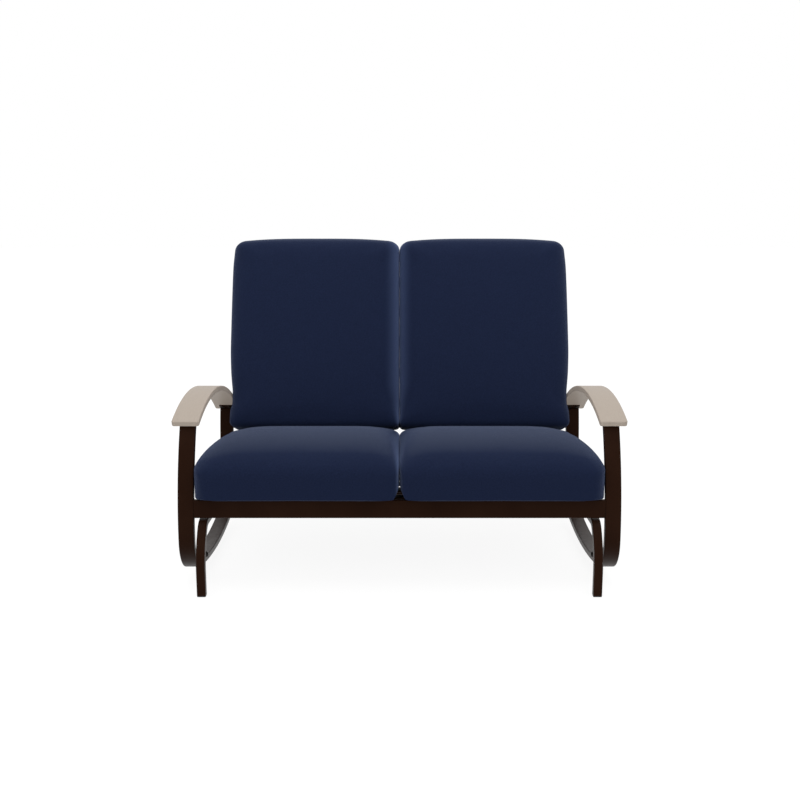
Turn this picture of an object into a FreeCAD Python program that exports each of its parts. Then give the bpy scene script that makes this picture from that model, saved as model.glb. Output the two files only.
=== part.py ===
import FreeCAD, Part
import Sketcher
import math
import os
import re

# Two-seat glider bench: a seat frame with two bent side loops hangs from a base on four links.
# Millimetres, +Z up, +X along the bench, +Y to the back. Depths in the tables count from the
# front of the side loops; mid_depth then sets Y = 0 at the middle of the whole bench.

SIZES = {
    # side loops, each bent from one flat bar with a shallow bow at the bottom
    "loop_half_span": 623.5,
    "loop_bar_width": 45,
    "loop_bar_thick": 18,
    "loop_depth": 674,
    "loop_clearance": 19,
    "loop_corner_radius": 104,
    "loop_bottom_radius": 1400,
    "rear_bow_height": 199.5,
    "front_bow_radius": 740,
    "rear_bow_radius": 812,
    "bar_edge_radius": 3,
    # armrest boards, each a plain arch, and the plates they sit on
    "arm_side_overhang": 19,
    "arm_width": 77.5,
    "arm_thick": 16,
    "arm_arch_radius": 690,
    "arm_crest_depth": 311,
    "arm_crest_height": 529.5,
    "arm_front_overhang": 21,
    "arm_rear_overhang": 10,
    "arm_edge_radius": 3,
    "arm_corner_radius": 7,
    "bracket_thick": 4,
    "bracket_tab": 18,
    "screw_radius": 3,
    "screw_head_radius": 5,
    "screw_head_thick": 3,
    "screw_depth": 11,
    "screw_spacing": 22,
    # base
    "base_bar_width": 25,
    "base_bar_thick": 19,
    "base_top": 207.5,
    "leg_reach": 50,
    "leg_bow_radius": 190,
    "knee_radius": 45,
    "knee_angle": 40,
    "glide_thick": 4,
    "glide_inset": 1,
    "glide_edge_radius": 1,
    "front_stretcher_depth": 136,
    "stretcher_deep": 25,
    "rear_stretcher_height": 78.5,
    "rear_stretcher_tall": 25,
    "rear_stretcher_deep": 15,
    # links and pivots
    "link_inset": 106,
    "lower_pivot_rise": 14,
    "link_standoff": 3,
    "link_thick": 6,
    "link_end_radius": 12,
    "bush_radius": 6,
    "flange_radius": 9,
    "flange_thick": 1.4,
    "running_gap": 0.06,
    "face_gap": 0.1,
    "bolt_radius": 4,
    "bolt_head_radius": 7,
    "bolt_head_thick": 5,
    "bolt_end": 2,
    "nut_corner_radius": 7.5,
    "nut_thick": 6.5,
    "washer_radius": 8.5,
    "lug_thick": 6,
    "lug_radius": 13,
    # seat frame, which stands clear above the base
    "front_rail_clearance": 4,
    "front_rail_depth": 8,
    "front_rail_deep": 14,
    "front_rail_tall": 53,
    "rear_rail_clearance": 6,
    "rear_rail_deep": 18,
    "rear_rail_tall": 25,
    "bearer_clearance": 11.5,
    "bearer_width": 20,
    "bearer_tall": 20,
    "inner_bearer_half_span": 190,
    "slat_width": 35,
    "slat_thick": 5,
    "slat_edge_radius": 1,
    "seat_slat_first": 16,
    "seat_slat_pitch": 78,
    # back frame
    "recline": 18.3,
    "back_rail_lead": 11,
    "back_rail_deep": 25,
    "back_rail_rise": 118,
    "back_rail_tall": 25,
    "back_height": 600,
    "stile_clearance": 2,
    "stile_width": 25,
    "stile_deep": 22,
    "top_rail_tall": 25,
    "upright_half_span": 190,
    "upright_width": 20,
    "back_slat_first": 45,
    "back_slat_pitch": 108,
    # cushions
    "cushion_gap": 1,
    "cushion_rest": 0.3,
    "cushion_crown_radius": 1800,
    "seat_side_clearance": 7.5,
    "seat_rear_clearance": 9,
    "seat_cushion_overhang": 39,
    "seat_cushion_thick": 176,
    "back_side_clearance": 2.5,
    "waist_clearance": 1,
    "arm_top_clearance": 3,
    "back_cushion_drop": 38,
    "back_cushion_over": 27,
    "back_cushion_thick": 132,
}
# Sizes that follow from those above, worked out in the same sheet
FORMULAS = {
    "back_rail_depth": "loop_depth - back_rail_lead",
    "mid_depth": "(back_rail_depth + back_height * sin(recline) + stile_deep * cos(recline)"
                 " - leg_reach) / 2",
}

# Seat cushion from front to back: share of the depth, inset at both sides, lift off the deck,
# shoulder and crest as shares of the thickness, radius at the bottom and at the top
SEAT_FORM = (
    (0.0, 38, 28, 0.46, 0.50, 12, 26),
    (0.013, 18, 12, 0.61, 0.67, 14, 40),
    (0.043, 6, 3, 0.74, 0.82, 16, 58),
    (0.108, 1, 0, 0.82, 0.92, 18, 70),
    (0.281, 0, 0, 0.85, 1.0, 18, 78),
    (0.42, 0, 0, 0.755, 0.94, 18, 78),
    (0.55, 0, 0, 0.67, 0.85, 18, 72),
    (0.815, 0, 0, 0.52, 0.65, 18, 55),
    (0.931, 2, 0, 0.41, 0.52, 16, 40),
    (0.988, 10, 0, 0.33, 0.39, 12, 28),
    (1.0, 20, 3, 0.27, 0.32, 8, 18),
)
# Back cushion from bottom to top: level that the height counts from, height (below the arms a
# share of their level), inset at both sides, share of the way from waist to full width, rear
# inset, shoulder and crest in front as shares of the thickness, radius at the rear and in front
BACK_FORM = (
    ("below arm", 0.0, 24, 0.2, 24, 0.74, 0.79, 12, 20),
    ("below arm", 0.06, 10, 0.3, 10, 0.85, 0.91, 18, 32),
    ("below arm", 0.26, 2, 0.42, 1, 0.90, 0.98, 20, 40),
    ("below arm", 0.48, 0, 0.42, 0, 0.90, 1.0, 20, 44),
    ("below arm", 0.66, 0, 0.0, 0, 0.90, 1.0, 20, 44),
    ("arm", 0, 0, 0.0, 0, 0.90, 1.0, 20, 44),
    ("arm", 12, 0, 0.58, 0, 0.90, 1.0, 20, 44),
    ("arm", 75, 0, 0.88, 0, 0.90, 1.0, 20, 44),
    ("arm", 150, 0, 1.0, 0, 0.90, 1.0, 20, 44),
    ("top", -222, 0, 0.82, 0, 0.90, 1.0, 20, 44),
    ("top", -112, 0, 0.52, 0, 0.89, 0.98, 20, 44),
    ("top", -42, 1, 0.14, 1, 0.87, 0.95, 20, 42),
    ("top", -28, 5, 0.1, 3, 0.85, 0.92, 20, 40),
    ("top", -19, 11, 0.1, 7, 0.83, 0.89, 18, 34),
    ("top", -13, 22, 0.1, 12, 0.79, 0.84, 16, 28),
    ("top", -9.5, 40, 0.1, 17, 0.75, 0.79, 14, 22),
    ("top", -6, 64, 0.1, 24, 0.70, 0.73, 12, 18),
    ("top", -2.5, 100, 0.1, 33, 0.64, 0.66, 10, 12),
    ("top", 0, 150, 0.1, 43, 0.57, 0.58, 6, 8),
)

doc = FreeCAD.newDocument("GliderBench")
sheet = doc.addObject("Spreadsheet::Sheet", "Sizes")
for row, (alias, value) in enumerate(SIZES.items(), start=1):
    sheet.set("A%d" % row, alias)
    sheet.set("B%d" % row, str(value))
    sheet.setAlias("B%d" % row, alias)
for row, (alias, formula) in enumerate(FORMULAS.items(), start=len(SIZES) + 1):
    sheet.set("A%d" % row, alias)
    sheet.set("B%d" % row, "=" + formula)
    sheet.setAlias("B%d" % row, alias)
doc.recompute()

V = FreeCAD.Vector
ALONG_X = FreeCAD.Rotation(V(0, 1, 0), 90)
nodes = {}


def size(alias):
    return float(sheet.get(alias))


def bind(obj, prop, formula):
    """Tie one property to the sheet; the formula names cells by their alias."""
    words = re.sub(r"[a-z][a-z_]*", lambda m: "Sizes." + m.group()
                   if m.group() in SIZES or m.group() in FORMULAS else m.group(), formula)
    obj.setExpression(prop, words)


def keep(label, obj):
    obj.Label = label
    nodes[label] = obj
    return obj


# Outlines are lists of lines and arcs, each with its two end points.

def polar(centre, radius, degrees):
    angle = math.radians(degrees)
    return (centre[0] + radius * math.cos(angle), centre[1] + radius * math.sin(angle))


def heading(centre, point):
    return math.degrees(math.atan2(point[1] - centre[1], point[0] - centre[0])) % 360


def line(start, end):
    return {"ends": (start, end)}


def arc(centre, radius, start, end, formula=None):
    """Counter-clockwise arc between two points or two angles in degrees."""
    first = heading(centre, start) if isinstance(start, tuple) else start
    last = heading(centre, end) if isinstance(end, tuple) else end
    while last <= first:
        last += 360
    ends = (polar(centre, radius, first), polar(centre, radius, last))
    angles = (math.radians(first), math.radians(last))
    return {"ends": ends, "centre": centre, "radius": radius, "angles": angles,
            "formula": formula}


def softened(points, radii):
    """A convex polygon, listed counter-clockwise, with every corner rounded."""
    if not isinstance(radii, (list, tuple)):
        radii = [radii] * len(points)
    corners = []
    for number, radius in enumerate(radii):
        before, here, after = (points[(number + step) % len(points)] for step in (-1, 0, 1))
        came = math.atan2(here[1] - before[1], here[0] - before[0])
        goes = math.atan2(after[1] - here[1], after[0] - here[0])
        turn = (goes - came) % (2 * math.pi)
        cut = radius * math.tan(turn / 2)
        start = (here[0] - cut * math.cos(came), here[1] - cut * math.sin(came))
        centre = (start[0] - radius * math.sin(came), start[1] + radius * math.cos(came))
        first = math.degrees(came) - 90
        corners.append(arc(centre, radius, first, first + math.degrees(turn)))
    outline = []
    for number, corner in enumerate(corners):
        following = corners[(number + 1) % len(corners)]
        outline.append(corner)
        outline.append(line(corner["ends"][1], following["ends"][0]))
    return outline


def box_outline(depth, height, deep, tall, radius):
    points = [(depth, height), (depth + deep, height), (depth + deep, height + tall),
              (depth, height + tall)]
    return softened(points, radius)


def polygon(points):
    return [line(a, b) for a, b in zip(points, points[1:] + points[:1])]


def crossing(centre_a, radius_a, centre_b, radius_b, pick):
    """The crossing of two circles that gives pick its largest value."""
    dy = centre_b[0] - centre_a[0]
    dz = centre_b[1] - centre_a[1]
    gap = math.hypot(dy, dz)
    along = (radius_a ** 2 - radius_b ** 2 + gap ** 2) / (2 * gap)
    off = math.sqrt(radius_a ** 2 - along ** 2)
    foot = (centre_a[0] + along * dy / gap, centre_a[1] + along * dz / gap)
    both = [(foot[0] - sign * off * dz / gap, foot[1] + sign * off * dy / gap)
            for sign in (1, -1)]
    return max(both, key=pick)


def plane_of(body, role):
    return next(f for f in body.Origin.OriginFeatures if f.Role == role)


def add_sketch(body, name, outline, role="YZ_Plane", holes=()):
    sketch = body.newObject("Sketcher::SketchObject", name)
    sketch.AttachmentSupport = [(plane_of(body, role), "")]
    sketch.MapMode = "FlatFace"
    for piece in outline:
        if "centre" in piece:
            centre = V(piece["centre"][0], piece["centre"][1], 0)
            circle = Part.Circle(centre, V(0, 0, 1), piece["radius"])
            sketch.addGeometry(Part.ArcOfCircle(circle, *piece["angles"]), False)
        else:
            start, end = piece["ends"]
            sketch.addGeometry(Part.LineSegment(V(*start, 0), V(*end, 0)), False)
    for number, piece in enumerate(outline):
        following = (number + 1) % len(outline)
        for this_end, here in enumerate(piece["ends"], start=1):
            for that_end, there in enumerate(outline[following]["ends"], start=1):
                if math.dist(here, there) < 1e-5:
                    sketch.addConstraint(
                        Sketcher.Constraint("Coincident", number, this_end, following, that_end))
        if piece.get("formula"):
            radius = Sketcher.Constraint("Radius", number, piece["radius"])
            bind(sketch, "Constraints[%d]" % sketch.addConstraint(radius), piece["formula"])
    for centre, formula in holes:
        number = sketch.addGeometry(Part.Circle(V(*centre, 0), V(0, 0, 1), 1), False)
        radius = Sketcher.Constraint("Radius", number, 1)
        bind(sketch, "Constraints[%d]" % sketch.addConstraint(radius), formula)
    return sketch


def extruded(name, outline, start, length, holes=()):
    """A body padded along X from an outline of depths and heights."""
    body = doc.addObject("PartDesign::Body", name)
    sketch = add_sketch(body, "Outline", outline, holes=holes)
    bind(sketch, "AttachmentOffset.Base.x", "-mid_depth")
    bind(sketch, "AttachmentOffset.Base.z", start)
    pad = body.newObject("PartDesign::Pad", "Length")
    pad.Profile = sketch
    bind(pad, "Length", length)
    body.Tip = pad
    doc.recompute()
    return body


def across(name, outline, half_span):
    """A bar that runs the same way to both sides."""
    return extruded(name, outline, "-(%s)" % half_span, "2 * (%s)" % half_span)


def rounded(body, formula, wanted):
    """Round the edges of the body's last step that the test picks."""
    base = body.Tip
    names = ["Edge%d" % n for n, edge in enumerate(base.Shape.Edges, start=1) if wanted(edge)]
    fillet = body.newObject("PartDesign::Fillet", "Rounding")
    fillet.Base = (base, names)
    bind(fillet, "Radius", formula)
    body.Tip = fillet
    doc.recompute()
    return body


def cut_away(body, outline, shifted):
    """Take away all that lies in an outline of depths and heights."""
    sketch = add_sketch(body, "CutOutline", outline)
    if shifted:
        bind(sketch, "AttachmentOffset.Base.x", "-mid_depth")
    pocket = body.newObject("PartDesign::Pocket", "CutAway")
    pocket.Profile = sketch
    pocket.Midplane = True
    bind(pocket, "Length", "4 * loop_half_span")
    body.Tip = pocket
    doc.recompute()


def middle(edge):
    """Middle of an edge as X, depth and height."""
    point = edge.valueAt((edge.FirstParameter + edge.LastParameter) / 2)
    return point.x, point.y + mid_depth, point.z


def runs_flat(edge):
    """True for an edge that keeps its X."""
    return edge.BoundBox.XLength < 1e-4


def long_edge(edge):
    return runs_flat(edge) and edge.Length > 100


def twin(source):
    """The same piece on the other side of the bench."""
    other = doc.addObject("Part::Mirroring", "Twin")
    other.Source = source
    other.Normal = V(1, 0, 0)
    return other


def keep_pair(stem, source):
    keep(stem + "_left", source)
    keep(stem + "_right", twin(source))


def group(label, members):
    obj = doc.addObject("Part::Compound", label)
    obj.Links = members
    return keep(label, obj)


def fused(members):
    obj = doc.addObject("Part::MultiFuse", "Joined")
    obj.Shapes = members
    return obj


def less(base, tool):
    obj = doc.addObject("Part::Cut", "Bored")
    obj.Base = base
    obj.Tool = tool
    return obj


def rod(spot, start, radius, length):
    """A cylinder along X at a depth and height."""
    obj = doc.addObject("Part::Cylinder", "Rod")
    obj.Placement = FreeCAD.Placement(V(0, spot[0] - mid_depth, spot[1]), ALONG_X)
    bind(obj, "Placement.Base.x", start)
    bind(obj, "Radius", radius)
    bind(obj, "Height", length)
    return obj


# Places that several pieces share

mid_depth = size("mid_depth")
depth_end = size("loop_depth")
bar = size("loop_bar_thick")
corner = size("loop_corner_radius")
under = size("loop_clearance")
bottom_reach = size("loop_bottom_radius")
bottom_bow = (depth_end / 2, under + bottom_reach)
corner_height = bottom_bow[1] - math.sqrt((bottom_reach - corner) ** 2
                                          - (bottom_bow[0] - corner) ** 2)
front_corner = (corner, corner_height)
rear_corner = (depth_end - corner, corner_height)
corner_ends = [heading(bottom_bow, front_corner), heading(bottom_bow, rear_corner)]
rear_bow_start = size("rear_bow_height")
front_reach = size("front_bow_radius")
rear_reach = size("rear_bow_radius")
front_bow = (front_reach, corner_height)
rear_bow = (depth_end + rear_reach, rear_bow_start)
arch = (size("arm_crest_depth"), size("arm_crest_height") - size("arm_arch_radius"))
arch_top = size("arm_arch_radius")
arch_under = arch_top - size("arm_thick")
arch_plate = arch_under - size("bracket_thick")
outer_nose = crossing(front_bow, front_reach, arch, arch_plate, lambda p: p[1] - p[0])
inner_nose = crossing(front_bow, front_reach - bar, arch, arch_plate, lambda p: p[1] - p[0])
outer_heel = crossing(rear_bow, rear_reach, arch, arch_plate, lambda p: p[1])
inner_heel = crossing(rear_bow, rear_reach + bar, arch, arch_plate, lambda p: p[1])

LOOP_INNER = "loop_half_span - loop_bar_width"
ARM_INNER = "loop_half_span + arm_side_overhang - arm_width"
LINK_SPACE = "2 * link_standoff + link_thick"
BASE_OUTER = LOOP_INNER + " - (%s)" % LINK_SPACE
BASE_INNER = BASE_OUTER + " - base_bar_width"
LINK_INNER = BASE_OUTER + " + link_standoff"
LINK_OUTER = LINK_INNER + " + link_thick"
BEARER_OUTER = BASE_INNER + " - bearer_clearance"
STILE_OUTER = ARM_INNER + " - stile_clearance"

loop_inner = size("loop_half_span") - size("loop_bar_width")
arm_inner = size("loop_half_span") + size("arm_side_overhang") - size("arm_width")
link_depths = {"front": size("link_inset"), "rear": depth_end - size("link_inset")}


def bar_top(depth):
    """Height of the upper face of a loop's bottom bar."""
    return bottom_bow[1] - math.sqrt((bottom_reach - bar) ** 2 - (depth - bottom_bow[0]) ** 2)


upper_height = size("base_top") - size("base_bar_thick") / 2
lower_height = bar_top(link_depths["front"]) + size("lower_pivot_rise")

# Side loops: front upright, bottom and rear post in one bent bar, both ends cut to the arch

loop_outline = [
    arc(front_bow, front_reach, outer_nose, 180, "front_bow_radius"),
    arc(front_corner, corner, 180, corner_ends[0], "loop_corner_radius"),
    arc(bottom_bow, bottom_reach, *corner_ends, "loop_bottom_radius"),
    arc(rear_corner, corner, corner_ends[1], 360, "loop_corner_radius"),
    line((depth_end, corner_height), (depth_end, rear_bow_start)),
    arc(rear_bow, rear_reach, outer_heel, 180, "rear_bow_radius"),
    line(outer_heel, inner_heel),
    arc(rear_bow, rear_reach + bar, inner_heel, 180, "rear_bow_radius + loop_bar_thick"),
    line((depth_end - bar, rear_bow_start), (depth_end - bar, corner_height)),
    arc(rear_corner, corner - bar, corner_ends[1], 360, "loop_corner_radius - loop_bar_thick"),
    arc(bottom_bow, bottom_reach - bar, *corner_ends, "loop_bottom_radius - loop_bar_thick"),
    arc(front_corner, corner - bar, 180, corner_ends[0], "loop_corner_radius - loop_bar_thick"),
    arc(front_bow, front_reach - bar, inner_nose, 180, "front_bow_radius - loop_bar_thick"),
    line(inner_nose, outer_nose),
]
loop = extruded("SideLoop", loop_outline, LOOP_INNER, "loop_bar_width")
keep_pair("side_loop", rounded(loop, "bar_edge_radius", lambda edge: True))

# Armrests, arm brackets and arm screws


def arch_band(outer, inner, first, last):
    """Part of a ring about the centre of the arch, between two angles in degrees."""
    return [
        arc(arch, outer, first, last),
        line(polar(arch, outer, last), polar(arch, inner, last)),
        arc(arch, inner, first, last),
        line(polar(arch, inner, first), polar(arch, outer, first)),
    ]


def arch_angle(depth):
    return math.degrees(math.acos((depth - arch[0]) / arch_top))


tab_turn = math.degrees(size("bracket_tab") / arch_under)
nose = heading(arch, inner_nose)
heel = heading(arch, inner_heel)
plate_angles = {
    "front": (nose - tab_turn, heading(arch, outer_nose)),
    "rear": (heading(arch, outer_heel), heel + tab_turn),
}
screw_angles = {"front": nose - tab_turn / 2, "rear": heel + tab_turn / 2}
head_radius = size("screw_head_radius")
head_drop = arch_plate - math.sqrt(arch_plate ** 2 - head_radius ** 2)


def radial(angle, radius, side):
    """Placement beside the middle of the loop bar, pointing out of the arch."""
    spot = polar(arch, radius, angle)
    middle_x = size("loop_half_span") - size("loop_bar_width") / 2
    turn = FreeCAD.Rotation(V(1, 0, 0), angle - 90)
    return FreeCAD.Placement(V(middle_x + side, spot[0] - mid_depth, spot[1]), turn)


def screw(angle, side):
    start = arch_plate - head_drop - size("screw_head_thick")
    shank = doc.addObject("Part::Cylinder", "ScrewShank")
    shank.Placement = radial(angle, start, side)
    bind(shank, "Radius", "screw_radius")
    bind(shank, "Height", "screw_head_thick + bracket_thick + screw_depth")
    head = doc.addObject("Part::Cylinder", "ScrewHead")
    head.Placement = radial(angle, start, side)
    bind(head, "Radius", "screw_head_radius")
    bind(head, "Height", "screw_head_thick")
    return fused([shank, head]), shank


half_spacing = size("screw_spacing") / 2
screws = [screw(angle, side) for angle in screw_angles.values()
          for side in (-half_spacing, half_spacing)]
shanks = fused([shank for whole, shank in screws])
wholes = [whole for whole, shank in screws]

arm_outline = arch_band(arch_top, arch_under,
                        arch_angle(outer_heel[0] + size("arm_rear_overhang")),
                        arch_angle(outer_nose[0] - size("arm_front_overhang")))
arm = extruded("ArmBoard", arm_outline, ARM_INNER, "arm_width")
arm_thick = size("arm_thick")
rounded(arm, "arm_corner_radius",
        lambda edge: runs_flat(edge) and abs(edge.Length - arm_thick) < 0.5)


def rim(edge):
    """True for the edges of the upper and the lower face."""
    x, depth, height = middle(edge)
    away = math.dist((depth, height), arch)
    return min(abs(away - arch_top), abs(away - arch_under)) < 0.05


rounded(arm, "arm_edge_radius", rim)
keep_pair("armrest", less(arm, shanks))

for end, angles in plate_angles.items():
    plate = extruded("ArmPlate", arch_band(arch_under, arch_plate, *angles), LOOP_INNER,
                     "loop_bar_width")
    keep_pair("arm_bracket_%s" % end, less(plate, shanks))
group("arm_screws", wholes + [twin(whole) for whole in wholes])

# Base: two side bars with bowed legs, two stretchers and four foot glides

thick = size("base_bar_thick")
top = size("base_top")
knee = size("knee_radius")
reach = size("leg_bow_radius")
knee_angle = size("knee_angle")
foot = size("glide_thick")
shift = (reach - knee) * math.cos(math.radians(knee_angle))
leg_centre = (reach - size("leg_reach"),
              top - knee - (reach - knee) * math.sin(math.radians(knee_angle)))
knee_centre = (leg_centre[0] - shift, top - knee)
far_knee = (depth_end - knee_centre[0], knee_centre[1])
far_leg = (depth_end - leg_centre[0], leg_centre[1])
leg_front = -size("leg_reach")
leg_back = leg_front + thick
far_back = depth_end - leg_back
far_front = depth_end - leg_front

base_outline = [
    line((far_knee[0], top), (knee_centre[0], top)),
    arc(knee_centre, knee, 90, 180 - knee_angle, "knee_radius"),
    arc(leg_centre, reach, 180 - knee_angle, 180, "leg_bow_radius"),
    line((leg_front, leg_centre[1]), (leg_front, foot)),
    line((leg_front, foot), (leg_back, foot)),
    line((leg_back, foot), (leg_back, leg_centre[1])),
    arc(leg_centre, reach - thick, 180 - knee_angle, 180, "leg_bow_radius - base_bar_thick"),
    arc(knee_centre, knee - thick, 90, 180 - knee_angle, "knee_radius - base_bar_thick"),
    line((knee_centre[0], top - thick), (far_knee[0], top - thick)),
    arc(far_knee, knee - thick, knee_angle, 90, "knee_radius - base_bar_thick"),
    arc(far_leg, reach - thick, 0, knee_angle, "leg_bow_radius - base_bar_thick"),
    line((far_back, leg_centre[1]), (far_back, foot)),
    line((far_back, foot), (far_front, foot)),
    line((far_front, foot), (far_front, leg_centre[1])),
    arc(far_leg, reach, 0, knee_angle, "leg_bow_radius"),
    arc(far_knee, knee, knee_angle, 90, "knee_radius"),
]
bolt_hole = "bolt_radius + running_gap"
base_side = extruded("BaseSide", base_outline, BASE_INNER, "base_bar_width",
                     holes=[((depth, upper_height), bolt_hole) for depth in link_depths.values()])


def along_base(edge):
    """True for the long edges of a base bar, not for its holes or cut ends."""
    x, depth, height = middle(edge)
    return (runs_flat(edge) and abs(height - foot) > 0.5
            and abs(edge.Length - 2 * math.pi * (size("bolt_radius") + size("running_gap"))) > 1)


keep_pair("base_side", rounded(base_side, "bar_edge_radius", along_base))

radius = size("bar_edge_radius")
keep("base_front_stretcher", across(
    "FrontStretcher",
    box_outline(size("front_stretcher_depth"), top - thick, size("stretcher_deep"), thick, radius),
    BASE_INNER))
rear_middle = size("rear_stretcher_height") + size("rear_stretcher_tall") / 2
above_bow = max(rear_middle - far_leg[1], 0)
leg_line = far_leg[0] + math.sqrt((reach - thick / 2) ** 2 - above_bow ** 2)
rear_deep = size("rear_stretcher_deep")
keep("base_rear_stretcher", across(
    "RearStretcher",
    box_outline(leg_line - rear_deep / 2, size("rear_stretcher_height"), rear_deep,
                size("rear_stretcher_tall"), radius),
    BASE_INNER))

glides = []
inset = size("glide_inset")
for near, far in ((leg_front, leg_back), (far_back, far_front)):
    outline = box_outline(near + inset, 0, far - near - 2 * inset, foot,
                          size("glide_edge_radius"))
    glide = extruded("FootGlide", outline, BASE_INNER + " + glide_inset",
                     "base_bar_width - 2 * glide_inset")
    glides += [glide, twin(glide)]
group("foot_glides", glides)

# Links: a flat plate with two flanged bushes pressed into each eye from both sides

end_radius = size("link_end_radius")


def eye_plate(depth, low, high, radius):
    """Upright plate with two round ends."""
    return [
        arc((depth, high), radius, 0, 90),
        arc((depth, high), radius, 90, 180),
        line((depth - radius, high), (depth - radius, low)),
        arc((depth, low), radius, 180, 270),
        arc((depth, low), radius, 270, 360),
        line((depth + radius, low), (depth + radius, high)),
    ]


def bush(spot):
    bore = rod(spot, BASE_OUTER, bolt_hole, LINK_SPACE)
    halves = []
    for flange_start, sleeve_start in ((LINK_INNER + " - flange_thick", LINK_INNER),
                                       (LINK_OUTER, LINK_INNER + " + link_thick / 2")):
        flange = rod(spot, flange_start, "flange_radius", "flange_thick")
        sleeve = rod(spot, sleeve_start, "bush_radius", "link_thick / 2")
        halves.append(less(fused([flange, sleeve]), bore))
    return halves


for end, depth in link_depths.items():
    upper = (depth, upper_height)
    lower = (depth, lower_height)
    plate = extruded("LinkPlate", eye_plate(depth, lower_height, upper_height, end_radius),
                     LINK_INNER, "link_thick",
                     holes=[(upper, "bush_radius"), (lower, "bush_radius")])
    keep_pair("link_plate_%s" % end, plate)
    halves = bush(upper) + bush(lower)
    group("link_bushes_%s_left" % end, halves)
    group("link_bushes_%s_right" % end, [twin(half) for half in halves])

# Pivot bolts with washers and nuts: the upper ones through the base, the lower ones through lugs

WASHER = "link_standoff - flange_thick - face_gap"


def washer(spot, start):
    bore = rod(spot, start, bolt_hole, WASHER)
    return less(rod(spot, start, "washer_radius", WASHER), bore)


def bolt(spot, start, length):
    head = rod(spot, start, "bolt_head_radius", "bolt_head_thick")
    return fused([head, rod(spot, start, "bolt_radius", length)])


def nut(spot, start):
    hexagon = doc.addObject("Part::Prism", "Hexagon")
    hexagon.Polygon = 6
    hexagon.Placement = FreeCAD.Placement(V(0, spot[0] - mid_depth, spot[1]), ALONG_X)
    bind(hexagon, "Placement.Base.x", start)
    bind(hexagon, "Circumradius", "nut_corner_radius")
    bind(hexagon, "Height", "nut_thick")
    return less(hexagon, rod(spot, start, "bolt_radius", "nut_thick"))


def both_sides(label, pieces):
    group(label, pieces + [twin(piece) for piece in pieces])


upper_spots = [(depth, upper_height) for depth in link_depths.values()]
lower_spots = [(depth, lower_height) for depth in link_depths.values()]
both_sides("upper_pivot_bolts", [
    bolt(spot, BASE_INNER + " - bolt_head_thick",
         "bolt_head_thick + base_bar_width + %s + nut_thick + bolt_end" % LINK_SPACE)
    for spot in upper_spots])
both_sides("upper_pivot_washers",
           [washer(spot, BASE_OUTER) for spot in upper_spots]
           + [washer(spot, LOOP_INNER + " - (%s)" % WASHER) for spot in upper_spots])
both_sides("upper_pivot_nuts", [nut(spot, LOOP_INNER) for spot in upper_spots])
both_sides("lower_pivot_bolts", [
    bolt(spot, BASE_OUTER + " - bolt_head_thick",
         "bolt_head_thick + %s + lug_thick + nut_thick + bolt_end" % LINK_SPACE)
    for spot in lower_spots])
both_sides("lower_pivot_washers",
           [washer(spot, BASE_OUTER) for spot in lower_spots]
           + [washer(spot, LOOP_INNER + " - (%s)" % WASHER) for spot in lower_spots])
both_sides("lower_pivot_nuts", [nut(spot, LOOP_INNER + " + lug_thick") for spot in lower_spots])

# Hanger lugs: plates standing on the bottom bar of each loop, at its inner face

lug = size("lug_radius")
lugs = []
for depth in link_depths.values():
    near, far = depth - lug, depth + lug
    outline = [
        arc((depth, lower_height), lug, 0, 90),
        arc((depth, lower_height), lug, 90, 180),
        line((near, lower_height), (near, bar_top(near))),
        arc(bottom_bow, bottom_reach - bar, (near, bar_top(near)), (far, bar_top(far))),
        line((far, bar_top(far)), (far, lower_height)),
    ]
    lugs.append(extruded("HangerLug", outline, LOOP_INNER, "lug_thick",
                         holes=[((depth, lower_height), bolt_hole)]))
group("hanger_lugs_left", lugs)
group("hanger_lugs_right", [twin(piece) for piece in lugs])

# Seat frame: front and rear rail, four bearers from front to back, slats across them

rail_front = size("front_rail_depth")
rail_deep = size("front_rail_deep")
rail_tall = size("front_rail_tall")
front_top = top + size("front_rail_clearance") + rail_tall
rear_tall = size("rear_rail_tall")
rear_top = top + size("rear_rail_clearance") + rear_tall
rear_deep = size("rear_rail_deep")
deck_start = (rail_front + rail_deep, front_top)
deck_end = (depth_end - rear_deep, rear_top)
deck_length = math.dist(deck_start, deck_end)
deck_along = ((deck_end[0] - deck_start[0]) / deck_length,
              (deck_end[1] - deck_start[1]) / deck_length)


def on_deck(along, lift):
    """A place on the slope of the deck: along it from the front, and off it."""
    return (deck_start[0] + along * deck_along[0] - lift * deck_along[1],
            deck_start[1] + along * deck_along[1] + lift * deck_along[0])


def deck_height(depth):
    return deck_start[1] + (depth - deck_start[0]) * deck_along[1] / deck_along[0]


keep("seat_front_rail", across(
    "FrontRail", box_outline(rail_front, front_top - rail_tall, rail_deep, rail_tall, radius),
    LOOP_INNER))
keep("seat_rear_rail", across(
    "RearRail",
    box_outline(deck_end[0], rear_top - rear_tall, rear_deep, rear_tall, radius),
    LOOP_INNER))

slat_thick = size("slat_thick")
bearer_tall = size("bearer_tall")
bearer_outline = polygon([
    (deck_start[0], deck_start[1] - slat_thick - bearer_tall),
    (deck_end[0], deck_end[1] - slat_thick - bearer_tall),
    (deck_end[0], deck_end[1] - slat_thick),
    (deck_start[0], deck_start[1] - slat_thick),
])
for place, outer in (("outer", BEARER_OUTER), ("inner", "inner_bearer_half_span")):
    bearer = extruded("Bearer", bearer_outline, outer + " - bearer_width", "bearer_width")
    keep_pair("seat_bearer_%s" % place, rounded(bearer, "slat_edge_radius", long_edge))

slat_width = size("slat_width")


def slats_within(length, place):
    """How many slats fit on a length of frame."""
    spare = length - size(place + "_slat_first") - slat_width
    return int(spare / size(place + "_slat_pitch")) + 1


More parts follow.
